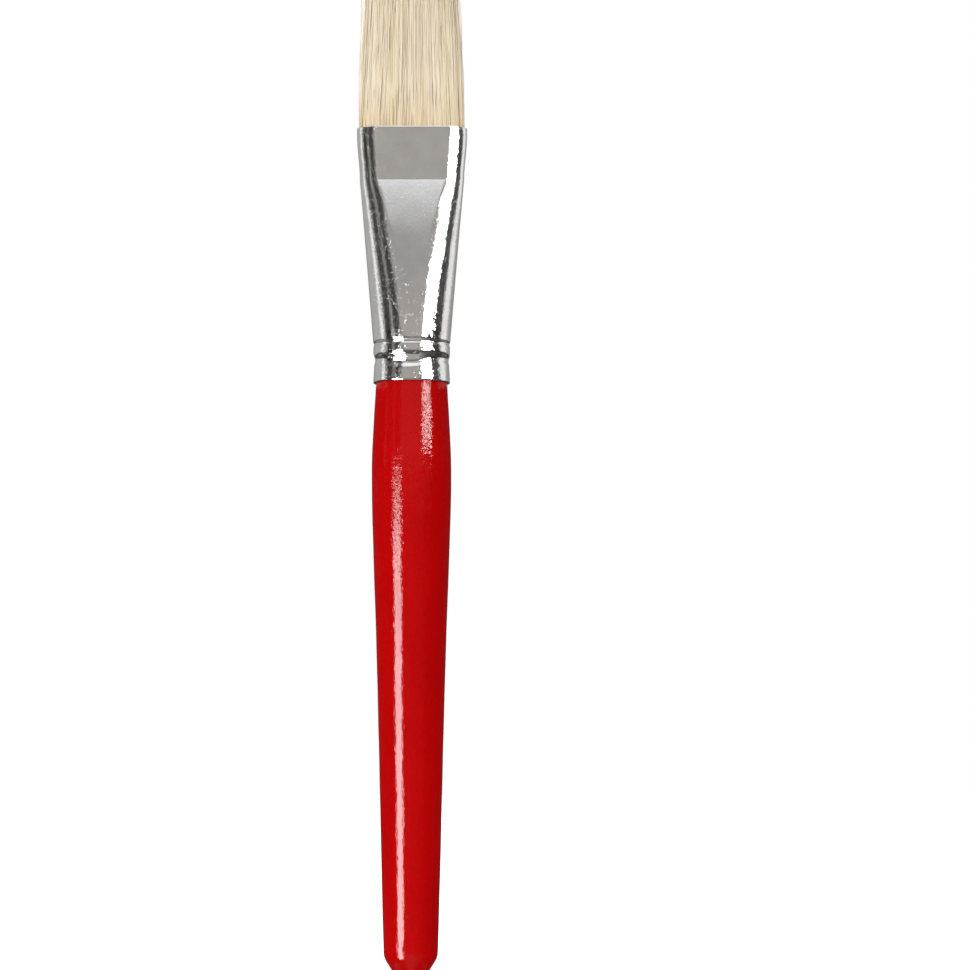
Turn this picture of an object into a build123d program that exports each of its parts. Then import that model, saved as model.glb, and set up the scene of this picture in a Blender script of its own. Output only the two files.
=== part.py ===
"""A flat bristle brush with a short turned and lacquered wooden handle.

The brush stands on its axis: +Z runs from the tail of the handle to the tips of the bristles, and
the broad faces of the tuft look along -Y (front) and +Y (back). The origin is on the axis, at the
widest point of the handle, where the hand holds it. Millimetres.
"""

import os
from math import atan2, pi, radians, sqrt, tan

from build123d import *

# Heights along the axis
tip_z = 102.0  # tips of the longest bristles
mouth_z = 69.0  # mouth of the ferrule
crease_z = 58.2  # where the flat band of the ferrule ends
round_z = 26.0  # below this the ferrule is a round tube
foot_z = 17.4  # lower edge of the ferrule
tail_z = -96.8  # the handle's side turns in to the tail cone
butt_z = -103.4  # flat at the end of the tail

# Handle
grip_r = 8.0  # at the origin, the widest point
waist_r = 7.3  # part of the way down the taper
waist_z = -26.0
slim_r = 6.2  # further down the taper
slim_z = -66.0
tail_r = 5.4  # where the tail cone starts
butt_r = 1.2  # flat at the tip of the tail
butt_edge_r = 0.5  # rounding round that flat
tail_edge_r = 1.6  # rounding between the handle's side and the tail cone
neck_r = 7.3  # where the lacquer ends, inside the ferrule
neck_z = foot_z + 1.4
shoulder_r = 7.6  # between neck and grip
shoulder_z = 10.0
lacquer_t = 0.2  # thickness of the lacquer coat
tenon_r = 6.95  # bare wood inside the ferrule
tenon_taper_z = 29.0  # above this the tenon narrows
tenon_top_r = 6.0
tenon_top_z = 38.0
fit = 0.02  # clearance between pieces that touch

# Ferrule: a drawn tube, round at the foot and pressed flat at the mouth
wall = 0.25
band_r = 7.8  # outside of the round tube at its top
foot_r = 7.6  # outside at the foot
crimps = [(25.1, 0.7), (21.4, 1.1)]  # middle and half height of each crimp groove
crimp_depth = 0.28
mouth_w = 22.2  # outside width at the mouth
crease_w = 21.0
band_t = 7.0  # outside thickness of the flat band
mouth_end = 6.5  # how far the half ellipse at each side of the mouth reaches along X
crease_end = 6.2
# Outside of the part that tapers from flat to round: height, width, thickness, and the X radius
# of the half ellipses that join its flats
taper_sections = [
    (crease_z, crease_w, band_t, crease_end),
    (54.0, 20.4, 8.9, 7.6),
    (48.0, 19.3, 11.2, 8.5),
    (41.0, 18.2, 13.1, 8.7),
    (33.0, 17.0, 14.7, 8.3),
    (round_z, 15.48, 15.44, 7.62),  # just inside the round tube that it stands on
]

# Handle glue: a ring squeezed up round the tenon above the upper crimp
glue_r = 7.25
glue_foot_z = 26.2

# Root resin, cast round the roots of the bristles
resin_foot_z = 52.0
resin_top_z = 59.5

# Bristles, as tapered locks of about forty each, in rows across the tuft
row_names = ["front", "front_inner", "middle", "back_inner", "back"]
lock_pitch = 1.33  # along a row, at the mouth
row_pitch = 1.27  # from row to row, at the mouth
lock_root_r = 0.54
lock_mouth_r = 0.60
lock_tip_r = 0.44
root_foot_z = 54.0
root_draw = 0.90  # the tuft's width at the roots, as a share of its width at the mouth
tip_draw_x = 0.85  # the same at the tips, across the width
tip_draw_y = 0.72  # and across the thickness
tip_rounding = 2.6  # how much shorter the outermost locks are

# Bending of the tuft
flex_deg = 30  # the tuft bends this far each way about the mouth
flex_gap = 0.2  # left between roots and tuft over the whole bend

os.makedirs("parts", exist_ok=True)


# ------------------------------------------------------------ handle core and lacquer coat
def draw_handle_side(inset):
    """Draws the handle's side from its butt to its neck, inset from the lacquered surface, and
    returns its two ends."""
    cone_angle = atan2(tail_r - butt_r, tail_z - butt_z)
    butt = (0, butt_z + inset)
    butt_edge = (butt_r - inset * tan((pi / 2 - cone_angle) / 2), butt_z + inset)
    tail_edge = (tail_r - inset, tail_z + inset * tan(cone_angle / 2))
    above_tail = (tail_edge[0] + 0.12, tail_edge[1] + 4)
    grip = (grip_r - inset, 0)
    neck = (neck_r - inset, neck_z)
    radii = (butt_edge_r - inset / 2, tail_edge_r - inset)
    tail = FilletPolyline(butt, butt_edge, tail_edge, above_tail, radius=radii)
    Spline(
        above_tail,
        (slim_r - inset, slim_z),
        (waist_r - inset, waist_z),
        grip,
        tangents=(tail % 1, (0, 1)),
    )
    Spline(grip, (shoulder_r - inset, shoulder_z), neck, tangents=((0, 1), (-0.02, 1)))
    return butt, neck


with BuildPart() as handle_core:
    with BuildSketch(Plane.XZ):
        with BuildLine():
            core_butt, core_neck = draw_handle_side(lacquer_t + fit)
            Polyline(
                core_neck,
                (tenon_r, neck_z),
                (tenon_r, tenon_taper_z),
                (tenon_top_r, tenon_top_z),
                (0, tenon_top_z),
                core_butt,
            )
        make_face()
    revolve(axis=Axis.Z)
handle_core.part.label = "handle_core"
export_step(handle_core.part, "parts/handle_core.step")

with BuildPart() as lacquer_coat:
    with BuildSketch(Plane.XZ):
        with BuildLine():
            outer_butt, outer_neck = draw_handle_side(0)
            Polyline(outer_neck, (0, neck_z), outer_butt)
        make_face()
    revolve(axis=Axis.Z)
    with BuildSketch(Plane.XZ):
        with BuildLine():
            inner_butt, inner_neck = draw_handle_side(lacquer_t)
            Polyline(inner_neck, (inner_neck[0], neck_z + 1), (0, neck_z + 1), inner_butt)
        make_face()
    revolve(axis=Axis.Z, mode=Mode.SUBTRACT)
lacquer_coat.part.label = "lacquer_coat"
export_step(lacquer_coat.part, "parts/lacquer_coat.step")

# ------------------------------------------------------------ handle glue
with BuildPart() as handle_glue:
    with BuildSketch(Plane.XY.offset(glue_foot_z)):
        Circle(glue_r)
        Circle(tenon_r + fit, mode=Mode.SUBTRACT)
    extrude(amount=tenon_taper_z - glue_foot_z)
handle_glue.part.label = "handle_glue"
export_step(handle_glue.part, "parts/handle_glue.step")


# ------------------------------------------------------------ ferrule
def ferrule_section(z, width, thickness, end):
    """The outline of the flattened tube at one height: two flats joined by half ellipses."""
    flat = width / 2 - end
    half = thickness / 2
    with BuildSketch(Plane.XY.offset(z)) as section:
        with BuildLine():
            Line((-flat, -half), (flat, -half))
            EllipticalCenterArc((flat, 0), end, half, start_angle=-90, arc_size=180)
            Line((flat, half), (-flat, half))
            EllipticalCenterArc((-flat, 0), end, half, start_angle=90, arc_size=180)
        make_face()
    return section.sketch.face()


def loft_ferrule(sections, inset, mode=Mode.ADD):
    """Lofts the ferrule's outside, or with an inset its inside, through rounded sections."""
    outlines = []
    for z, width, thickness, end in sections:
        outline = ferrule_section(z, width - 2 * inset, thickness - 2 * inset, end - inset)
        outlines.append(outline)
    loft(outlines, mode=mode)


def foot_profile(inset):
    """Half the outline of the round foot with its crimp grooves, or of the space inside it."""

    def side(z):
        """Radius of the tube between its grooves, at one height."""
        return foot_r + (band_r - foot_r) * (z - foot_z) / (round_z - foot_z) - inset

    with BuildSketch(Plane.XZ) as profile:
        with BuildLine():
            above = (side(round_z), round_z)
            for z, half in crimps:
                top = (side(z + half), z + half)
                bottom = (side(z - half), z - half)
                Line(above, top)
                ThreePointArc(top, (side(z) - crimp_depth, z), bottom)
                above = bottom
            foot = (side(foot_z), foot_z)
            Polyline(above, foot, (0, foot_z), (0, round_z), (side(round_z), round_z))
        make_face()
    return profile.sketch.face()


band_sections = [taper_sections[0], (mouth_z, mouth_w, band_t, mouth_end)]

with BuildPart() as ferrule:
    loft_ferrule(band_sections, 0)
    loft_ferrule(taper_sections, 0)
    revolve(foot_profile(0), axis=Axis.Z)
    loft_ferrule(band_sections, wall, mode=Mode.SUBTRACT)
    loft_ferrule(taper_sections, wall, mode=Mode.SUBTRACT)
    revolve(foot_profile(wall), axis=Axis.Z, mode=Mode.SUBTRACT)
ferrule.part.label = "ferrule"
export_step(ferrule.part, "parts/ferrule.step")


# ------------------------------------------------------------ bristles
def lock_places(row):
    """The x and y of each lock of a row at the ferrule's mouth, inside its rounded ends."""
    y = (row - (len(row_names) - 1) / 2) * row_pitch
    margin = wall + lock_mouth_r + fit
    end_share = sqrt(1 - (y / (band_t / 2 - margin)) ** 2)
    reach = mouth_w / 2 - mouth_end + (mouth_end - margin) * end_share
    stagger = 0.5 if row % 2 == 0 else 0.0
    steps = int(reach / lock_pitch) + 1
    xs = [(i + stagger) * lock_pitch for i in range(-steps, steps)]
    return [(x, y) for x in xs if abs(x) <= reach]


def add_lock(start, end, start_r, end_r, mode=Mode.ADD):
    """A round tapered lock of bristles from start to end."""
    run = Vector(*end) - Vector(*start)
    with Locations(Plane(origin=start, z_dir=run)):
        Cone(start_r, end_r, run.length, align=(Align.CENTER, Align.CENTER, Align.MIN), mode=mode)


def add_root(x, y, clearance=0.0, mode=Mode.ADD):
    """The held part of the lock at x and y, from inside the resin up to the mouth."""
    start = (x * root_draw, y * root_draw, root_foot_z)
    add_lock(start, (x, y, mouth_z), lock_root_r + clearance, lock_mouth_r + clearance, mode)


def add_free_lock(x, y):
    """The free part of the lock at x and y. Its foot clears the roots over the whole bend."""
    reach = abs(y) + lock_mouth_r
    foot = mouth_z + reach * tan(radians(flex_deg)) + flex_gap
    tip = tip_z - tip_rounding * (2 * abs(x) / mouth_w) ** 4
    rise = (foot - mouth_z) / (tip - mouth_z)
    start = (x * (1 - (1 - tip_draw_x) * rise), y * (1 - (1 - tip_draw_y) * rise), foot)
    add_lock(start, (x * tip_draw_x, y * tip_draw_y, tip), lock_mouth_r, lock_tip_r)


def is_tip_edge(edge):
    """True for the round edge at the tip of a lock."""
    return edge.geom_type == GeomType.CIRCLE and abs(edge.radius - lock_tip_r) < fit


all_places = [place for row in range(len(row_names)) for place in lock_places(row)]

with BuildPart() as bristle_roots:
    for x, y in all_places:
        add_root(x, y)
bristle_roots.part.label = "bristle_roots"
export_step(bristle_roots.part, "parts/bristle_roots.step")

for row, row_name in enumerate(row_names):
    with BuildPart() as bristle_row:
        for x, y in lock_places(row):
            add_free_lock(x, y)
        fillet(bristle_row.edges().filter_by(is_tip_edge), radius=0.8 * lock_tip_r)
    bristle_row.part.label = f"{row_name}_bristles"
    export_step(bristle_row.part, f"parts/{row_name}_bristles.step")

# ------------------------------------------------------------ root resin
with BuildPart() as root_resin:
    resin_band = [taper_sections[0], (resin_top_z, crease_w, band_t, crease_end)]
    loft_ferrule(resin_band, wall + fit)
    loft_ferrule(taper_sections, wall + fit)
    split(bisect_by=Plane.XY.offset(resin_foot_z), keep=Keep.TOP)
    for x, y in all_places:
        add_root(x, y, clearance=fit, mode=Mode.SUBTRACT)
root_resin.part.label = "root_resin"
export_step(root_resin.part, "parts/root_resin.step")
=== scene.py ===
import math
import random

import bpy
import numpy as np
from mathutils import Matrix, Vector, noise


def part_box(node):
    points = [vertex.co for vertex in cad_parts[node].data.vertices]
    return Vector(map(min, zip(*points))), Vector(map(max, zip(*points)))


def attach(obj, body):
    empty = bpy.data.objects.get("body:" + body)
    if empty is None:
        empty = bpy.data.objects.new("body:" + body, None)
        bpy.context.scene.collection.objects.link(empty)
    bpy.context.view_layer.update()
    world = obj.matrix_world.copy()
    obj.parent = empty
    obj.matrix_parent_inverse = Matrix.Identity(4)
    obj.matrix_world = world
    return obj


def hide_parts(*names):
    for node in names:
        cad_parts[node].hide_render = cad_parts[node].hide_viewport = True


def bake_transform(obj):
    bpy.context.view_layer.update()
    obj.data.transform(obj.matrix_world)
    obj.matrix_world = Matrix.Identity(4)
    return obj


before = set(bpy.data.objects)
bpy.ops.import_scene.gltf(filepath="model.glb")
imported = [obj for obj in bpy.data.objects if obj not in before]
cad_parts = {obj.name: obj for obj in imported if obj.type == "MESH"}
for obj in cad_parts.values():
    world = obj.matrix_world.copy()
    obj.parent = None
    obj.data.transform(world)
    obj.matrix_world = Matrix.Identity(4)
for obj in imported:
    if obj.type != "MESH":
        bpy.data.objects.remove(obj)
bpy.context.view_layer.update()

MM = 0.001
random.seed(7)

# ---------------------------------------------------------------- sizes from the frame
ferrule_low, ferrule_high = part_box("ferrule")
lacquer_low, lacquer_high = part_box("lacquer_coat")
tuft_low, tuft_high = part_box("middle_bristles")

mouth_z = ferrule_high.z
foot_z = ferrule_low.z
mouth_half_w = ferrule_high.x
round_r = ferrule_high.y
butt_z = lacquer_low.z
neck_z = lacquer_high.z
tip_z = tuft_high.z

ferrule_points = np.array([v.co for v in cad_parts["ferrule"].data.vertices])
mouth_half_t = np.abs(ferrule_points[ferrule_points[:, 2] > mouth_z - 1e-5, 1]).max()


# ---------------------------------------------------------------- small helpers
def smooth(x):
    """0 below 0, 1 above 1, and a smooth step between."""
    x = np.clip(x, 0.0, 1.0)
    return x * x * (3 - 2 * x)


def bump_at(z, middle, half):
    """A smooth hump of height 1 at middle that ends half away from it."""
    return smooth(1 - np.abs(z - middle) / half)


def add_object(name, vertices, faces, material):
    """A smooth shaded mesh object with one material."""
    mesh = bpy.data.meshes.new(name)
    mesh.from_pydata([tuple(v) for v in vertices], [], faces)
    mesh.polygons.foreach_set("use_smooth", [True] * len(mesh.polygons))
    mesh.materials.append(material)
    mesh.update()
    piece = bpy.data.objects.new(name, mesh)
    bpy.context.scene.collection.objects.link(piece)
    return piece


def ring_faces(rings, around, start=0):
    """Quads between rings of points, each ring closed on itself."""
    faces = []
    for i in range(rings - 1):
        low, high = start + i * around, start + (i + 1) * around
        for j in range(around):
            k = (j + 1) % around
            faces.append((low + j, low + k, high + k, high + j))
    return faces


def wander(x, y, z, scale, seed):
    """Smooth noise of about -1 to 1, with bumps about as large as scale."""
    return noise.noise(Vector((x, y, z)) / scale + Vector((seed, -seed, 2 * seed)))


# ---------------------------------------------------------------- node helpers
class Nodes:
    """Short calls for building a node tree."""

    def __init__(self, tree):
        self.tree = tree
        tree.nodes.clear()

    def add(self, kind, **settings):
        """A node with its settings, and its inputs by name where they aren't attributes."""
        node = self.tree.nodes.new("ShaderNode" + kind)
        for key, value in settings.items():
            if hasattr(node, key):
                setattr(node, key, value)
            else:
                node.inputs[key.replace("_", " ")].default_value = value
        return node

    def link(self, source, target):
        self.tree.links.new(source, target)

    def maths(self, operation, a, b=0.0, clamp=False):
        """A Math node; a and b are sockets or numbers."""
        node = self.tree.nodes.new("ShaderNodeMath")
        node.operation = operation
        node.use_clamp = clamp
        for socket, value in zip(node.inputs, (a, b)):
            if isinstance(value, (int, float)):
                socket.default_value = value
            else:
                self.link(value, socket)
        return node.outputs[0]

    def ramp(self, source, *stops):
        """A colour ramp from stops of (position, colour or grey)."""
        node = self.tree.nodes.new("ShaderNodeValToRGB")
        elements = node.color_ramp.elements
        while len(elements) < len(stops):
            elements.new(0.5)
        for element, (position, colour) in zip(elements, stops):
            element.position = position
            grey = isinstance(colour, (int, float))
            element.color = (colour, colour, colour, 1) if grey else (*colour, 1)
        self.link(source, node.inputs[0])
        return node.outputs[0]

    def mix(self, factor, a, b, blend="MIX"):
        """A colour mix of sockets or colours."""
        node = self.tree.nodes.new("ShaderNodeMix")
        node.data_type = "RGBA"
        node.blend_type = blend
        sockets = (node.inputs["Factor"], node.inputs[6], node.inputs[7])
        for socket, value in zip(sockets, (factor, a, b)):
            if isinstance(value, tuple):
                socket.default_value = (*value, 1)
            elif isinstance(value, (int, float)):
                socket.default_value = value
            else:
                self.link(value, socket)
        return node.outputs[2]

    def noise(self, vector, scale, detail=2.0, roughness=0.5):
        """Noise of 0 to 1 at the places that vector gives."""
        node = self.add("TexNoise", Scale=scale, Detail=detail, Roughness=roughness)
        self.link(vector, node.inputs["Vector"])
        return node.outputs["Fac"]

    def bump(self, height, distance, strength=1.0, normal=None):
        """A normal that a height bends, on top of the one given."""
        node = self.add("Bump", Distance=distance, Strength=strength)
        self.link(height, node.inputs["Height"])
        if normal is not None:
            self.link(normal, node.inputs["Normal"])
        return node.outputs[0]

    def vector(self, operation, a, b):
        """A Vector Math node on a socket and a socket or a vector."""
        node = self.add("VectorMath", operation=operation)
        self.link(a, node.inputs[0])
        if isinstance(b, (tuple, Vector)):
            node.inputs[1].default_value = b
        else:
            self.link(b, node.inputs[1])
        return node

    def grit(self, place, scale, amount, normal):
        """A normal that leans a little at random in each small cell."""
        cells = self.add("TexVoronoi", Scale=scale)
        self.link(place, cells.inputs["Vector"])
        lean = self.vector("SUBTRACT", cells.outputs["Color"], (0.5, 0.5, 0.5))
        lean = self.vector("MULTIPLY", lean.outputs[0], amount)
        leaning = self.vector("ADD", normal, lean.outputs[0])
        unit = self.add("VectorMath", operation="NORMALIZE")
        self.link(leaning.outputs[0], unit.inputs[0])
        return unit.outputs[0]


class MaterialNodes(Nodes):
    """The node tree of a new material, with its output and its main shader."""

    def __init__(self, name):
        self.material = bpy.data.materials.new(name)
        self.material.use_nodes = True
        super().__init__(self.material.node_tree)
        self.output = self.tree.nodes.new("ShaderNodeOutputMaterial")
        self.shader = self.tree.nodes.new("ShaderNodeBsdfPrincipled")
        self.link(self.shader.outputs[0], self.output.inputs["Surface"])


def stretched(nodes, x, y, z):
    """Object coordinates in metres, scaled along each axis."""
    where = nodes.add("TexCoord")
    scaled = nodes.add("Mapping")
    scaled.inputs["Scale"].default_value = (x, y, z)
    nodes.link(where.outputs["Object"], scaled.inputs["Vector"])
    return scaled.outputs[0]


# ---------------------------------------------------------------- materials
def ferrule_metal():
    """Bright drawn tube: a fine orange peel, faint draw lines, pinprick pits in patches, and grit on
    the curved sides."""
    nodes = MaterialNodes("ferrule_metal")
    place = stretched(nodes, 1, 1, 1)
    shader = nodes.shader
    shader.inputs["Metallic"].default_value = 1.0
    dull = nodes.noise(place, 260, 3)
    tint = nodes.ramp(dull, (0.3, (0.80, 0.79, 0.78)), (0.75, (0.88, 0.88, 0.88)))
    nodes.link(tint, shader.inputs["Base Color"])
    drawn = nodes.noise(stretched(nodes, 2600, 2600, 60), 1.0, 2)
    peel = nodes.noise(stretched(nodes, 5200, 5200, 1100), 1.0, 1, 0.6)
    normal = nodes.bump(peel, 0.00002, 0.40)
    normal = nodes.bump(drawn, 0.00002, 0.08, normal)
    # The curved sides are coarser than the two pressed flats.
    facing = nodes.add("SeparateXYZ")
    nodes.link(nodes.add("TexCoord").outputs["Normal"], facing.inputs[0])
    beside = nodes.ramp(nodes.maths("ABSOLUTE", facing.outputs["X"]), (0.08, 0.0), (0.20, 1.0))
    worn = nodes.noise(stretched(nodes, 160, 160, 60), 1.0, 2)
    worn = nodes.ramp(worn, (0.45, 0.0), (0.60, 1.0))
    worn = nodes.maths("MAXIMUM", worn, nodes.maths("MULTIPLY", beside, 0.8))
    for scale, share, size in ((5400.0, 0.76, 0.28), (3400.0, 0.84, 0.20)):
        pits = nodes.add("TexVoronoi", Scale=scale)
        nodes.link(place, pits.inputs["Vector"])
        chosen = nodes.ramp(pits.outputs["Color"], (share, 0.0), (share + 0.04, 1.0))
        pit = nodes.ramp(pits.outputs["Distance"], (0.0, 1.0), (size, 0.0))
        dots = nodes.maths("MULTIPLY", nodes.maths("MULTIPLY", pit, chosen), worn)
        normal = nodes.bump(dots, 0.00004, 0.8, normal)
    rough = nodes.ramp(nodes.noise(place, 700, 4), (0.3, 0.02), (0.8, 0.07))
    nodes.link(rough, shader.inputs["Roughness"])
    patch = nodes.noise(stretched(nodes, 420, 420, 160), 1.0, 3)
    patch = nodes.ramp(patch, (0.35, 0.25), (0.65, 1.0))
    amount = nodes.maths("MULTIPLY", nodes.maths("MULTIPLY", patch, beside), 0.16)
    nodes.link(nodes.grit(place, 5600.0, amount, normal), shader.inputs["Normal"])
    return nodes.material


def red_lacquer():
    """Thick dip lacquer: glossy, slightly uneven in colour and level, with a few dust pips."""
    nodes = MaterialNodes("red_lacquer")
    place = stretched(nodes, 1, 1, 1)
    shader = nodes.shader
    cloud = nodes.noise(place, 90, 3)
    fleck = nodes.noise(place, 1300, 2)
    red = nodes.ramp(cloud, (0.3, (0.37, 0.0004, 0.0008)), (0.7, (0.41, 0.0006, 0.001)))
    shade = nodes.ramp(fleck, (0.25, (0.90, 0.86, 0.86)), (0.5, (1.0, 1.0, 1.0)))
    nodes.link(nodes.mix(1.0, red, shade, "MULTIPLY"), shader.inputs["Base Color"])
    rough = nodes.ramp(nodes.noise(place, 900, 3), (0.35, 0.08), (0.75, 0.18))
    nodes.link(rough, shader.inputs["Roughness"])
    shader.inputs["IOR"].default_value = 1.5
    shader.inputs["Specular IOR Level"].default_value = 0.03
    shader.inputs["Coat Weight"].default_value = 0.42
    shader.inputs["Coat Roughness"].default_value = 0.05
    shader.inputs["Coat IOR"].default_value = 1.5
    ripple = nodes.noise(stretched(nodes, 700, 700, 220), 1.0, 2)
    peel = nodes.noise(stretched(nodes, 2100, 2100, 800), 1.0, 1, 0.6)
    dust = nodes.add("TexVoronoi", Scale=330.0)
    nodes.link(place, dust.inputs["Vector"])
    pip = nodes.ramp(dust.outputs["Distance"], (0.03, 1.0), (0.10, 0.0))
    normal = nodes.bump(ripple, 0.00005, 0.4)
    normal = nodes.bump(peel, 0.00005, 0.55, normal)
    normal = nodes.bump(pip, 0.00006, 0.5, normal)
    normal = nodes.grit(place, 4600.0, (0.07, 0.07, 0.07), normal)
    nodes.link(normal, shader.inputs["Normal"])
    nodes.link(normal, shader.inputs["Coat Normal"])
    return nodes.material


def bristle():
    """Bleached hog bristle: each hair has its own tone, from cream to straw, darker at its root."""
    nodes = MaterialNodes("bristle")
    shader = nodes.shader
    tone = nodes.add("Attribute", attribute_name="tone")
    hue = nodes.add("Attribute", attribute_name="hue")
    along = nodes.add("Attribute", attribute_name="along")
    # The darkest stops, below 0.1, are reached only at the painted slits: dark brown painted shade
    # standing for the gaps between hairs.
    hair = nodes.ramp(
        tone.outputs["Fac"],
        (0.0, (0.26, 0.17, 0.08)),
        (0.10, (0.66, 0.55, 0.38)),
        (0.40, (0.77, 0.68, 0.545)),
        (0.75, (0.81, 0.735, 0.625)),
        (1.0, (0.84, 0.79, 0.71)),
    )
    tint = nodes.ramp(
        hue.outputs["Fac"],
        (0.0, (0.97, 0.96, 0.78)),
        (0.5, (1.0, 0.99, 0.95)),
        (1.0, (1.0, 0.94, 0.92)),
    )
    # Darker towards each hair's root, over its lowest third.
    darker_to_root = nodes.ramp(along.outputs["Fac"], (0.05, (0.93, 0.86, 0.74)), (0.35, (1.0, 1.0, 1.0)))
    streak = nodes.noise(stretched(nodes, 4000, 4000, 140), 1.0, 2)
    mottle = nodes.ramp(streak, (0.3, (0.93, 0.91, 0.87)), (0.65, (1.0, 1.0, 1.0)))
    colour = nodes.mix(1.0, nodes.mix(1.0, hair, tint, "MULTIPLY"), darker_to_root, "MULTIPLY")
    nodes.link(nodes.mix(1.0, colour, mottle, "MULTIPLY"), shader.inputs["Base Color"])
    rough = nodes.ramp(streak, (0.3, 0.38), (0.7, 0.55))
    nodes.link(rough, shader.inputs["Roughness"])
    shader.inputs["IOR"].default_value = 1.54
    shader.inputs["Specular IOR Level"].default_value = 0.15
    shader.inputs["Subsurface Weight"].default_value = 0.2
    shader.inputs["Subsurface Radius"].default_value = (1.0, 0.8, 0.5)
    shader.inputs["Subsurface Scale"].default_value = 0.0002
    nodes.link(nodes.bump(streak, 0.00002, 0.3), shader.inputs["Normal"])
    return nodes.material


def bare_wood():
    """Turned beech: fine grain along the handle."""
    nodes = MaterialNodes("bare_wood")
    grain = nodes.noise(stretched(nodes, 900, 900, 30), 1.0, 5, 0.6)
    colour = nodes.ramp(grain, (0.3, (0.42, 0.26, 0.13)), (0.7, (0.66, 0.47, 0.28)))
    nodes.link(colour, nodes.shader.inputs["Base Color"])
    rough = nodes.ramp(grain, (0.3, 0.5), (0.7, 0.75))
    nodes.link(rough, nodes.shader.inputs["Roughness"])
    nodes.link(nodes.bump(grain, 0.0001, 0.4), nodes.shader.inputs["Normal"])
    return nodes.material


def cast_resin(name, pale, deep, roughness):
    """Set glue or resin, clouded by small bubbles."""
    nodes = MaterialNodes(name)
    bubbles = nodes.noise(stretched(nodes, 1, 1, 1), 900, 4)
    colour = nodes.ramp(bubbles, (0.35, deep), (0.7, pale))
    nodes.link(colour, nodes.shader.inputs["Base Color"])
    rough = nodes.ramp(bubbles, (0.3, roughness), (0.8, roughness + 0.15))
    nodes.link(rough, nodes.shader.inputs["Roughness"])
    nodes.link(nodes.bump(bubbles, 0.0001, 0.3), nodes.shader.inputs["Normal"])
    return nodes.material


# ---------------------------------------------------------------- ferrule
SHOULDER = 1.6  # how the thickness eases from the flat band into the round tube
BAND_SHARE = 0.209  # the flat band's share of the ferrule's height
ROUND_SHARE = 0.167  # the round foot's share of it
BAND_SIDE = 3.65 * MM  # how far the flat band's edges are from the sides
CREASE_WIDTH = 0.946  # width at the fold under the flat band, as a share of the mouth's
FLAT_HALF_WIDTHS = (  # of each flat below the fold: share of the way down, half width
    (0.0, 6.95 * MM),
    (0.04, 6.5 * MM),
    (0.117, 5.65 * MM),
    (0.26, 4.6 * MM),
    (0.40, 3.2 * MM),
    (0.55, 1.6 * MM),
    (0.75, 0.5 * MM),
    (1.0, 0.0),
)
EDGE_TURN = 14.0  # degrees that the skin turns at once beside a flat
FERRULE_AROUND = 280  # points in each ring of the skin
FERRULE_WALL = 0.25 * MM
FERRULE_DIP = 0.015 * MM  # how deep the skin's slight dips are
LIP = 0.06 * MM  # rounding of the rims
CRIMPS = (  # share of the ferrule's height, half height of the groove, depth
    (0.151, 0.55 * MM, 0.15 * MM),
    (0.090, 1.35 * MM, 0.24 * MM),
)


def ferrule_sizes(z):
    """Half width, half thickness, half width of the flats and turn beside them at height z."""
    height = mouth_z - foot_z
    crease = mouth_z - BAND_SHARE * height
    top = foot_z + ROUND_SHARE * height
    down = np.clip((crease - z) / (crease - top), 0, 1)
    half_t = mouth_half_t + (round_r - mouth_half_t) * (1 - (1 - down) ** SHOULDER)
    band = np.clip((z - crease) / (mouth_z - crease), 0, 1)
    crease_half_w = CREASE_WIDTH * mouth_half_w
    taper_w = crease_half_w + (round_r - crease_half_w) * down**0.96
    half_w = taper_w + (mouth_half_w - crease_half_w) * smooth(band * 1.15)
    flat = np.interp(down, *zip(*FLAT_HALF_WIDTHS)) if down > 0 else half_w - BAND_SIDE
    turn = math.radians(EDGE_TURN) * (1 - smooth((down - 0.1) / 0.45))
    below = np.clip((top - z) / (top - foot_z), 0, 1)
    foot_draw = 1 - 0.012 * smooth(below / 0.16) - 0.020 * smooth((below - 0.30) / 0.25)
    foot_draw += 0.018 * smooth((below - 0.6) / 0.4)
    return half_w * foot_draw, half_t * foot_draw, flat, turn


def section(half_w, half_t, flat, turn, count):
    """Points evenly spaced round two flats joined by elliptic sides, from the +X side."""
    share = math.tan(turn) * (half_w - flat) / half_t
    share = share / (1 - share)
    reach = (half_w - flat) / (1 - share)
    rise = half_t / math.sqrt(1 - share**2)
    angle = np.linspace(0, math.acos(share), 90)
    quarter_x = np.append(half_w - reach + reach * np.cos(angle), 0.0)
    quarter_y = np.append(rise * np.sin(angle), half_t)
    run = np.concatenate([[0], np.cumsum(np.hypot(np.diff(quarter_x), np.diff(quarter_y)))])
    steps = np.linspace(0, run[-1], count // 4 + 1)
    px, py = np.interp(steps, run, quarter_x), np.interp(steps, run, quarter_y)
    first = list(zip(px, py))[:-1]
    second = list(zip(-px[::-1], py[::-1]))[:-1]
    third = list(zip(-px, -py))[:-1]
    fourth = list(zip(px[::-1], -py[::-1]))[:-1]
    return np.array(first + second + third + fourth)


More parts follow.
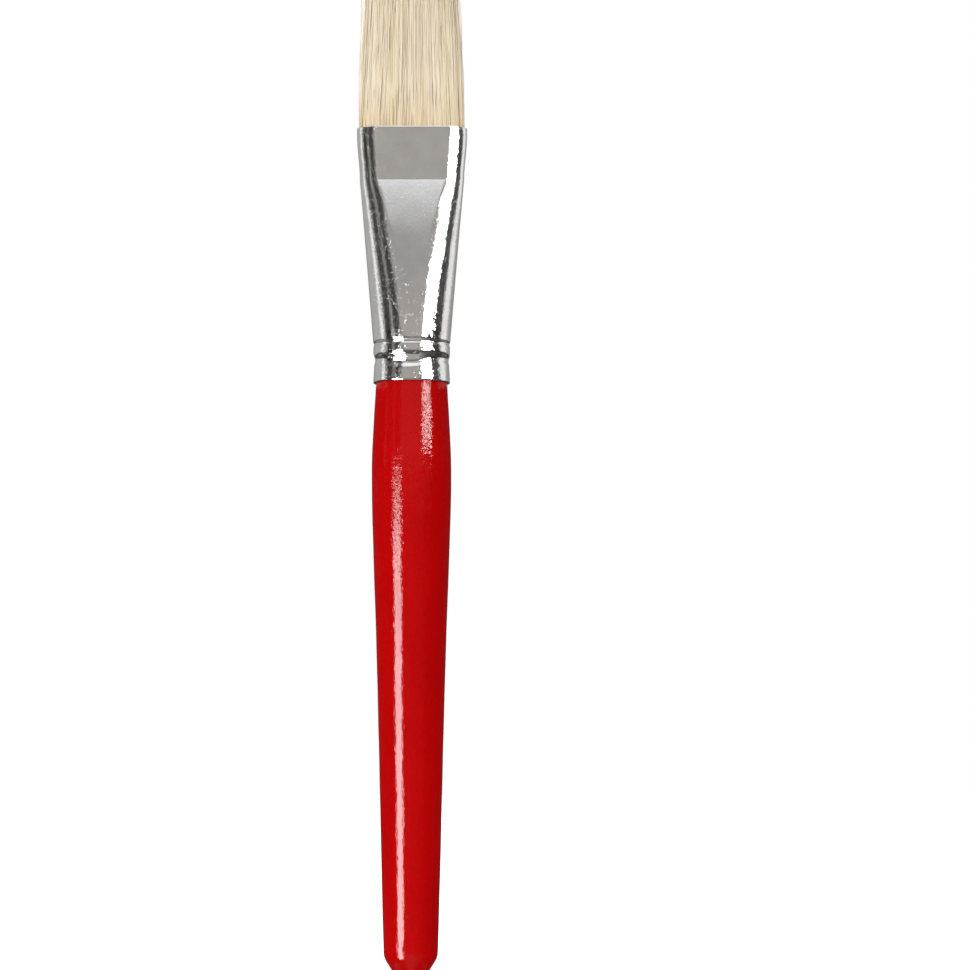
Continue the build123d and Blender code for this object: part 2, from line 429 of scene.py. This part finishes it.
def build_ferrule(material):
    """The crimped tube with its rim and its inside, as one closed skin."""
    height = mouth_z - foot_z
    crease = mouth_z - BAND_SHARE * height
    near_fold = 0.6 * MM
    fine = np.linspace(foot_z + 2 * LIP, foot_z + 0.2 * height, 70)
    fine = np.concatenate([[foot_z, foot_z + 0.5 * LIP], fine])
    middle = np.linspace(foot_z + 0.2 * height, crease - near_fold, 60)[1:]
    fold = np.linspace(crease - near_fold, crease + near_fold, 13)[1:]
    band = np.linspace(crease + near_fold, mouth_z - 2 * LIP, 30)[1:]
    band = np.concatenate([band, [mouth_z - 0.5 * LIP, mouth_z]])
    levels = np.concatenate([fine, middle, fold, band])
    lips = {levels[0]: LIP, levels[1]: 0.3 * LIP, levels[-1]: LIP, levels[-2]: 0.3 * LIP}
    outside = []
    inside = []
    for z in levels:
        half_w, half_t, flat, turn = (float(v) for v in ferrule_sizes(z))
        lip = lips.get(z, 0.0)
        wall = FERRULE_WALL - lip
        ring = section(half_w - lip, half_t - lip, flat, turn, FERRULE_AROUND)
        inner = section(half_w - wall, half_t - wall, flat, turn, FERRULE_AROUND)
        rows = []
        for (x, y), (ix, iy) in zip(ring, inner):
            angle = math.atan2(y, x)
            dent = crimp_dent(angle, z)
            dip = FERRULE_DIP * (1 + wander(x, y, z, 6 * MM, 3.0))
            dip *= float(smooth((z - foot_z) / (8 * MM)) * smooth((mouth_z - z) / (6 * MM)))
            r = math.hypot(x, y)
            k = 1 - (dent + dip) / r
            rows.append((x * k, y * k, z, ix * k, iy * k))
        outside.append([(a, b, c) for a, b, c, _, _ in rows])
        inside.append([(d, e, c) for _, _, c, d, e in rows])
    rings = outside + inside[::-1]
    vertices = [p for ring in rings for p in ring]
    faces = ring_faces(len(rings), FERRULE_AROUND)
    last = (len(rings) - 1) * FERRULE_AROUND
    for j in range(FERRULE_AROUND):
        k = (j + 1) % FERRULE_AROUND
        faces.append((last + j, last + k, k, j))
    return add_object("ferrule_shell", vertices, faces, material)


def crimp_dent(angle, z):
    """How far the two crimps press the tube in. The lower one is uneven round the tube and sags
    on each broad face, as a hand crimper leaves it."""
    height = mouth_z - foot_z
    total = 0.0
    for n, (share, half, depth) in enumerate(CRIMPS):
        ripple = noise.noise(Vector((math.cos(angle) * 1.3, math.sin(angle) * 1.3, 5.0 * n + 1)))
        facing = abs(math.sin(angle + 0.20))
        sag = 0.95 * MM * float(smooth((facing - 0.72) / 0.28)) * n
        middle = foot_z + share * height + ripple * 0.35 * MM * n - sag
        uneven = 1 + (0.15 + 0.45 * n) * ripple
        total += depth * uneven * float(bump_at(z, middle, half * (1 + 0.3 * n * ripple)))
    return total


# ---------------------------------------------------------------- lacquered handle
HANDLE_AROUND = 192  # points in each ring
TAIL = 9 * MM  # height of the finely built end
NECK_TRIM = 0.12 * MM  # how much slimmer the coat is where it goes into the ferrule
NECK_TRIM_RUN = 7 * MM  # the height over which it slims
LUMP = 0.035 * MM  # the broad unevenness of the coat
RIPPLE = 0.010 * MM  # the fine unevenness
LUMP_SIZE = 9 * MM
RIPPLE_SIZE = 2.2 * MM
SKIN_DRAW = 8 * MM  # radius at which both are laid round the handle


def handle_radius():
    """The handle's radius against height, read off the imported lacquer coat."""
    points = np.array([v.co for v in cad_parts["lacquer_coat"].data.vertices])
    radius = np.hypot(points[:, 0], points[:, 1])
    heights = [butt_z]
    radii = [0.85 * radius[points[:, 2] < butt_z + 1e-5].max()]
    levels = [butt_z, *np.arange(butt_z + 0.15 * MM, butt_z + TAIL, 0.3 * MM)]
    levels += [*np.arange(levels[-1] + 0.6 * MM, neck_z, 2 * MM), neck_z + 1e-5]
    for low, high in zip(levels, levels[1:]):
        chosen = (points[:, 2] > low) & (points[:, 2] <= high)
        if chosen.any():
            best = np.argmax(np.where(chosen, radius, 0))
            if points[best, 2] > heights[-1] + 1e-6:
                heights.append(points[best, 2])
                radii.append(radius[best])
    return np.array(heights), np.array(radii)


def build_handle(material):
    """The lacquer coat, with the slight lumps that dipping leaves."""
    heights, radii = handle_radius()
    shoulder = np.linspace(-0.8 * MM, 0.8 * MM, 9)  # the tail's shoulder is rounded over this
    tail = np.linspace(butt_z, butt_z + TAIL, 90)
    side = np.linspace(butt_z + TAIL, neck_z, 330)[1:]
    rings = []
    for z in np.concatenate([tail, side]):
        r = float(np.interp(z, heights, radii))
        if butt_z + 3 * MM < z < butt_z + 14 * MM:
            r = float(np.interp(z + shoulder, heights, radii).mean())
        r -= NECK_TRIM * float(smooth((z - foot_z + NECK_TRIM_RUN) / NECK_TRIM_RUN))
        ring = []
        for j in range(HANDLE_AROUND):
            a = 2 * math.pi * j / HANDLE_AROUND
            x, y = math.cos(a), math.sin(a)
            lump = LUMP * wander(x * SKIN_DRAW, y * SKIN_DRAW, z, LUMP_SIZE, 11.0)
            lump += RIPPLE * wander(x * SKIN_DRAW, y * SKIN_DRAW, z, RIPPLE_SIZE, 23.0)
            lump -= LUMP + RIPPLE
            ring.append(((r + lump) * x, (r + lump) * y, z))
        rings.append(ring)
    vertices = [p for ring in rings for p in ring]
    faces = ring_faces(len(rings), HANDLE_AROUND)
    vertices += [(0, 0, butt_z), (0, 0, neck_z)]
    first, last = len(vertices) - 2, len(vertices) - 1
    top = (len(rings) - 1) * HANDLE_AROUND
    faces += [((j + 1) % HANDLE_AROUND, j, first) for j in range(HANDLE_AROUND)]
    faces += [(top + j, top + (j + 1) % HANDLE_AROUND, last) for j in range(HANDLE_AROUND)]
    return add_object("lacquered_handle", vertices, faces, material)


# ---------------------------------------------------------------- bristles
ROWS = ("front", "front_inner", "middle", "back_inner", "back")
HAIRS = 4300
OUTER_SHARE = 0.33  # of the hairs, packed close to the two broad faces
OUTER_DEPTH = 0.8 * MM
HAIR_SIDES = 5
HAIR_STEPS = 9
HAIR_ROOT_R = 0.098 * MM
HAIR_TIP_R = 0.055 * MM
ROOT_DEPTH = 3.0 * MM  # how far the hairs go on down inside the ferrule
TIP_DRAW_X = 0.83  # the tuft's width at the tips, as a share of its width at the mouth
TIP_DRAW_Y = 0.72
TIP_ROUNDING = 2.6 * MM
CLUMPS = 220
NO_PAINTED_SLIT = -9  # the step of the painted shade mark, for a hair that has none
LOOSE = 0.03 * MM  # room left between the outermost hairs and the ferrule


def outermost_y(x, half_w, half_t):
    """How far towards a broad face a hair may stand at x, inside the mouth's rounded sides."""
    past = max(abs(x) - (half_w - BAND_SIDE), 0) / BAND_SIDE
    return half_t * math.sqrt(max(0.0, 1 - past**2))


def hair_roots():
    """Where the hairs cross the ferrule's mouth, scattered evenly inside it, and the half width
    and half thickness that they fill."""
    half_t = mouth_half_t - FERRULE_WALL - HAIR_ROOT_R - LOOSE
    half_w = mouth_half_w - FERRULE_WALL - HAIR_ROOT_R - LOOSE
    places = []
    while len(places) < HAIRS:
        x = random.uniform(-half_w, half_w)
        y = random.uniform(-half_t, half_t)
        if len(places) > HAIRS * (1 - OUTER_SHARE):
            y = math.copysign(half_t - abs(y) / half_t * OUTER_DEPTH, y)
        if abs(y) <= outermost_y(x, half_w, half_t):
            places.append((x, y))
    return places, half_w, half_t


def hair_line(x, y, clumps, rng):
    """Points up the middle of one hair and its radius at each."""
    cx, cy = min(clumps, key=lambda c: (c[0] - x) ** 2 + (c[1] - y) ** 2)
    pull = rng.uniform(0.05, 0.5)
    tip = tip_z - TIP_ROUNDING * (abs(x) / mouth_half_w) ** 4 - abs(rng.gauss(0, 0.9)) * MM
    bow_x, bow_y = rng.gauss(0, 0.22) * MM, rng.gauss(0, 0.10) * MM
    lean_x, lean_y = rng.gauss(0, 0.30) * MM, rng.gauss(0, 0.12) * MM
    wave, phase = rng.gauss(0, 0.07) * MM, rng.uniform(0, 2 * math.pi)
    if rng.random() < 0.03:
        lean_x *= 3
    points = []
    radii = []
    thick = rng.uniform(0.75, 1.25)
    base = mouth_z - ROOT_DEPTH
    for i in range(HAIR_STEPS + 1):
        share = i / HAIR_STEPS
        z = base + (tip - base) * share
        rise = max(0.0, (z - mouth_z) / (tip_z - mouth_z))
        to_x = (cx - x) * pull * rise
        to_y = (cy - y) * pull * rise
        bow = math.sin(math.pi * rise)
        px = (x + to_x) * (1 - (1 - TIP_DRAW_X) * rise) + bow_x * bow + lean_x * rise
        px += wave * (math.sin(phase + 9 * rise) - math.sin(phase)) * min(1.0, 3 * rise)
        py = (y + to_y) * (1 - (1 - TIP_DRAW_Y) * rise) + bow_y * bow + lean_y * rise
        sink = min(0.0, z - mouth_z) / ROOT_DEPTH
        px *= 1 + 0.04 * sink
        py *= 1 + 0.06 * sink
        points.append(Vector((px, py, z)))
        radii.append(thick * (HAIR_ROOT_R + (HAIR_TIP_R - HAIR_ROOT_R) * share**1.4))
    return points, radii


def tone_left_by_painted_slit(step, slit_step):
    """How much of a hair's tone is left at one of its steps, if a painted slit of shade darkens it
    near another.
    """
    return min(1.0, max(0.0, (abs(step - slit_step) - 0.6) / 1.2))


def build_bristles(material):
    """Five mats of single hairs, each riding over one row of CAD locks."""
    rng = random.Random(21)
    places, half_w, half_t = hair_roots()
    clumps = [(x * 1.02, y * 1.02) for x, y in places[:CLUMPS]]
    mats = {row: ([], [], [], [], []) for row in ROWS}
    for x, y in places:
        row = ROWS[min(4, int((y + half_t) / (2 * half_t) * 5))]
        vertices, faces, tones, hues, alongs = mats[row]
        points, radii = hair_line(x, y, clumps, rng)
        tone = min(1.0, max(0.1, rng.gauss(0.55, 0.08) + 0.20 * wander(x, y, 0, 1.3 * MM, 4.0)))
        outer = abs(y) > half_t - 0.5 * OUTER_DEPTH
        # A few hairs get a short dark mark, painted shade standing for a slit between hairs; on the
        # outermost hairs it is moved out to the broad face.
        slit_step = rng.uniform(1, HAIR_STEPS) if rng.random() < (0.03 if outer else 0.02) else NO_PAINTED_SLIT
        if outer and slit_step > NO_PAINTED_SLIT:
            rim_y = math.copysign(outermost_y(x, half_w, half_t), y)
            points, radii = hair_line(x, rim_y, clumps, rng)
        hue = 0.5 + rng.gauss(0, 0.22) + 0.35 * wander(x, y, 0, 2.5 * MM, 9.0)
        spin = rng.uniform(0, 2 * math.pi)
        start = len(vertices)
        for i, (p, r) in enumerate(zip(points, radii)):
            for s in range(HAIR_SIDES):
                a = spin + 2 * math.pi * s / HAIR_SIDES
                vertices.append((p.x + r * math.cos(a), p.y + r * math.sin(a), p.z))
                tones.append(tone * tone_left_by_painted_slit(i, slit_step))
                hues.append(min(1.0, max(0.0, hue)))
                alongs.append(i / HAIR_STEPS)
        faces += ring_faces(len(points), HAIR_SIDES, start)
        last = start + (len(points) - 1) * HAIR_SIDES
        faces.append(tuple(last + s for s in range(HAIR_SIDES)))
        faces.append(tuple(start + s for s in reversed(range(HAIR_SIDES))))
    made = {}
    for row, (vertices, faces, tones, hues, alongs) in mats.items():
        piece = add_object(f"{row}_hairs", vertices, faces, material)
        for name, values in (("tone", tones), ("hue", hues), ("along", alongs)):
            attribute = piece.data.attributes.new(name, "FLOAT", "POINT")
            attribute.data.foreach_set("value", values)
        made[row] = piece
    return made


# ---------------------------------------------------------------- studio
def world_light():
    """The studio's surroundings: white to the camera, and as a reflection a grey room with dark
    gaps at its sides and a broad soft light above."""
    world = bpy.data.worlds.new("studio")
    world.use_nodes = True
    bpy.context.scene.world = world
    nodes = Nodes(world.node_tree)
    direction = nodes.add("TexCoord").outputs["Generated"]
    parts = nodes.add("SeparateXYZ")
    nodes.link(direction, parts.inputs[0])
    front = nodes.maths("MULTIPLY", parts.outputs["Y"], -1.0)
    azimuth = nodes.maths("ARCTAN2", parts.outputs["X"], front)
    turn = nodes.maths("DIVIDE", azimuth, 2 * math.pi)
    turn = nodes.maths("ADD", turn, 0.5)
    elevation = nodes.maths("DIVIDE", nodes.maths("ARCSINE", parts.outputs["Z"]), math.pi)
    height = nodes.maths("ADD", elevation, 0.5)

    def at(degrees):
        return 0.5 + degrees / 360

    def up(degrees):
        return 0.5 + degrees / 180

    # Round the sides: dark gaps and thin pale lines beside a grey wall, in halves.
    around = nodes.ramp(
        turn,
        (at(-180), 0.25),
        (at(-90), 0.15),
        (at(-77), 0.035),
        (at(-60), 0.035),
        (at(-57), 0.20),
        (at(-54), 0.20),
        (at(-51), 0.03),
        (at(-36), 0.035),
        (at(-31), 0.22),
        (at(-10), 0.225),
        (at(33), 0.22),
        (at(37), 0.14),
        (at(66), 0.04),
        (at(93), 0.05),
        (at(180), 0.25),
    )
    # Up the front: dark below the lens, then a grey wall, then the ceiling light, in thirds.
    rise = nodes.ramp(
        height,
        (up(-90), 0.33),
        (up(-15), 0.33),
        (up(-9), 0.06),
        (up(3), 0.09),
        (up(6), 0.33),
        (up(10), 0.31),
        (up(24), 0.28),
        (up(27), 0.30),
        (up(31), 0.46),
        (up(35), 0.72),
        (up(42), 0.86),
        (up(60), 1.0),
    )
    warmth = nodes.ramp(height, (up(20), (1.0, 0.95, 0.90)), (up(32), (0.98, 0.99, 1.0)))
    room = nodes.maths("MULTIPLY", nodes.maths("MULTIPLY", around, rise), 6.0)
    ceiling = nodes.ramp(height, (up(43), 0.0), (up(56), 1.0))
    room = nodes.maths("ADD", room, nodes.maths("MULTIPLY", ceiling, 1.1))
    mirrored = nodes.mix(1.0, room, warmth, "MULTIPLY")
    # What falls on a matt surface: the same lights blurred, so brightest from the front left.
    lean = nodes.vector("DOT_PRODUCT", direction, Vector((-0.36, -0.84, 0.30)).normalized())
    soft = nodes.maths("ADD", nodes.maths("MULTIPLY", lean.outputs["Value"], 0.86), 0.83)
    soft = nodes.maths("MAXIMUM", soft, 0.02)
    behind = nodes.maths("MAXIMUM", parts.outputs["Y"], 0.0)
    behind = nodes.maths("POWER", behind, 2.0)
    soft = nodes.maths("ADD", soft, nodes.maths("MULTIPLY", behind, 0.9))
    path = nodes.add("LightPath")
    shades = []
    for light in (soft, mirrored):
        background = nodes.add("Background")
        nodes.link(light, background.inputs["Color"])
        shades.append(background.outputs[0])
    white = nodes.add("Background", Color=(1, 1, 1, 1))
    lit = nodes.add("MixShader")
    nodes.link(path.outputs["Is Glossy Ray"], lit.inputs[0])
    nodes.link(shades[0], lit.inputs[1])
    nodes.link(shades[1], lit.inputs[2])
    whole = nodes.add("MixShader")
    nodes.link(path.outputs["Is Camera Ray"], whole.inputs[0])
    nodes.link(lit.outputs[0], whole.inputs[1])
    nodes.link(white.outputs[0], whole.inputs[2])
    output = nodes.add("OutputWorld")
    nodes.link(whole.outputs[0], output.inputs["Surface"])
    world.cycles.sampling_method = "NONE"


def card(name, corners, strength):
    """A glowing card that is only seen mirrored in the object. strength makes its brightness
    from the card's own nodes."""
    nodes = MaterialNodes(name)
    place = nodes.add("TexCoord").outputs["Object"]
    glow = nodes.add("Emission")
    nodes.link(strength(nodes, place), glow.inputs["Strength"])
    nodes.link(glow.outputs[0], nodes.output.inputs["Surface"])
    faces = [(i, i + 1, i + 3, i + 2) for i in range(0, len(corners) - 2, 2)]
    sheet = add_object(name, corners, faces, nodes.material)
    sheet.visible_camera = False
    sheet.visible_diffuse = False
    sheet.visible_shadow = False


def softbox(name, azimuth, distance, half_width, levels, gain):
    """An upright soft light facing the brush, dimmer towards its sides. levels are its
    brightnesses as (height, share of gain), from the bottom up."""
    azimuth = math.radians(azimuth)
    low, high = levels[0][0], levels[-1][0]
    centre = distance * Vector((math.sin(azimuth), -math.cos(azimuth), 0))
    side = half_width * Vector((math.cos(azimuth), math.sin(azimuth), 0))
    corners = [centre + k * side + Vector((0, 0, z)) for k in (-1, 1) for z in (low, high)]

    def strength(nodes, place):
        parts = nodes.add("SeparateXYZ")
        nodes.link(place, parts.inputs[0])
        across = nodes.vector("DOT_PRODUCT", place, side.normalized() / half_width)
        edge = nodes.maths("SUBTRACT", 1.0, nodes.maths("ABSOLUTE", across.outputs["Value"]))
        edge = nodes.maths("MULTIPLY", edge, 5.0, clamp=True)
        height = nodes.maths("SUBTRACT", parts.outputs["Z"], low)
        height = nodes.maths("DIVIDE", height, high - low)
        stops = [((z - low) / (high - low), share) for z, share in levels]
        glow = nodes.maths("MULTIPLY", edge, nodes.ramp(height, *stops))
        return nodes.maths("MULTIPLY", glow, gain)

    card(name, corners, strength)


def softboxes():
    """A low tall light on the left and a higher narrow one on the right, strongest at its foot."""
    left = ((-0.75, 1.0), (-0.12, 1.0), (-0.04, 0.85), (0.003, 0.6), (0.05, 0.14), (0.08, 0.0))
    softbox("left_softbox", -42, 0.8, 0.19, left, 25.0)
    right = ((0.070, 0.0), (0.080, 1.0), (0.094, 1.0), (0.110, 0.25), (0.70, 0.22))
    softbox("right_softbox", 49, 0.4, 0.112, right, 28.0)


def side_wall():
    """A pale curved wall round the sides and the back, from the height of the ferrule up. It
    glows in upright stripes."""
    radius, low, high = 0.25, 0.01, 0.30
    first, last, steps = 93, 282, 48
    corners = []
    for i in range(steps + 1):
        a = math.radians(first + (last - first) * i / steps)
        corners += [Vector((radius * math.sin(a), -radius * math.cos(a), z)) for z in (low, high)]

    def strength(nodes, place):
        parts = nodes.add("SeparateXYZ")
        nodes.link(place, parts.inputs[0])
        across = nodes.maths("MULTIPLY", parts.outputs["X"], -1.0)
        azimuth = nodes.maths("ARCTAN2", across, parts.outputs["Y"])
        turn = nodes.maths("ADD", nodes.maths("DIVIDE", azimuth, 2 * math.pi), 0.5)
        stripes = nodes.ramp(
            turn,
            (first / 360, 0.05),
            (98 / 360, 0.90),
            (121 / 360, 0.90),
            (127 / 360, 0.50),
            (140 / 360, 0.32),
            (205 / 360, 0.32),
            (228 / 360, 0.45),
            (258 / 360, 0.45),
            (262 / 360, 1.0),
            (270 / 360, 1.0),
            (273 / 360, 0.45),
            (279 / 360, 0.40),
            (last / 360, 0.05),
        )
        above = nodes.maths("SUBTRACT", parts.outputs["Z"], low)
        above = nodes.maths("MULTIPLY", above, 70.0, clamp=True)
        return nodes.maths("MULTIPLY", stripes, above)

    card("side_wall", corners, strength)


def dark_flags():
    """Two dark curved cards beside the handle that keep the side wall out of its gloss."""
    radius, sweep, steps = 0.02, 78, 12
    low, high = butt_z - 10 * MM, foot_z + 1.2 * MM

    def strength(nodes, place):
        return nodes.ramp(nodes.noise(place, 40), (0.0, 0.02), (1.0, 0.05))

    for name, start in (("right_flag", 70), ("left_flag", 212)):
        corners = []
        for i in range(steps + 1):
            a = math.radians(start + sweep * i / steps)
            corners += [Vector((radius * math.sin(a), -radius * math.cos(a), z)) for z in (low, high)]
        card(name, corners, strength)


def build_floor():
    """A pale floor under the tip of the tail."""
    nodes = MaterialNodes("floor")
    grain = nodes.noise(stretched(nodes, 1, 1, 1), 14, 3)
    nodes.link(nodes.ramp(grain, (0.3, 0.90), (0.7, 0.93)), nodes.shader.inputs["Base Color"])
    nodes.shader.inputs["Roughness"].default_value = 0.8
    nodes.shader.inputs["Emission Color"].default_value = (1, 1, 1, 1)
    nodes.shader.inputs["Emission Strength"].default_value = 0.5
    reach = 3.0
    corners = [(-reach, -reach), (reach, -reach), (reach, reach), (-reach, reach)]
    ground = [(x, y, butt_z) for x, y in corners]
    floor = add_object("floor", ground, [(0, 1, 2, 3)], nodes.material)
    floor.visible_glossy = False
    floor.visible_diffuse = False
    floor.visible_shadow = False


def add_camera():
    """The long lens a little below the grip, aimed slightly up and past the brush's right side."""
    camera = bpy.data.cameras.new("camera")
    camera.sensor_width = 36.0
    place = Vector((14.7 * MM, -690 * MM, -56 * MM))
    aim = Vector((14.7 * MM, 0, -3 * MM))
    field = 194 * MM  # width of the picture at the brush
    camera.lens = camera.sensor_width * (aim - place).length / field
    camera.clip_start = 0.01
    holder = bpy.data.objects.new("camera", camera)
    holder.location = place
    holder.rotation_euler = (aim - place).to_track_quat("-Z", "Y").to_euler()
    bpy.context.scene.collection.objects.link(holder)
    bpy.context.scene.camera = holder


# ---------------------------------------------------------------- make everything
bpy.context.scene.view_settings.view_transform = "Standard"
add_camera()
world_light()
build_floor()
softboxes()
side_wall()
dark_flags()

metal = ferrule_metal()
lacquer = red_lacquer()
hog = bristle()

ferrule = build_ferrule(metal)
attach(ferrule, "handle")
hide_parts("ferrule")

handle = build_handle(lacquer)
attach(handle, "handle")
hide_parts("lacquer_coat")

hairs = build_bristles(hog)
for row, mat in hairs.items():
    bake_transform(mat)
    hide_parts(f"{row}_bristles")
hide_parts("bristle_roots")

hidden = {
    "handle_core": bare_wood(),
    "handle_glue": cast_resin("handle_glue", (0.80, 0.74, 0.58), (0.70, 0.62, 0.45), 0.35),
    "root_resin": cast_resin("root_resin", (0.42, 0.26, 0.10), (0.30, 0.17, 0.06), 0.2),
}
for node, material in hidden.items():
    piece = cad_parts[node]
    piece.data.materials.clear()
    piece.data.materials.append(material)
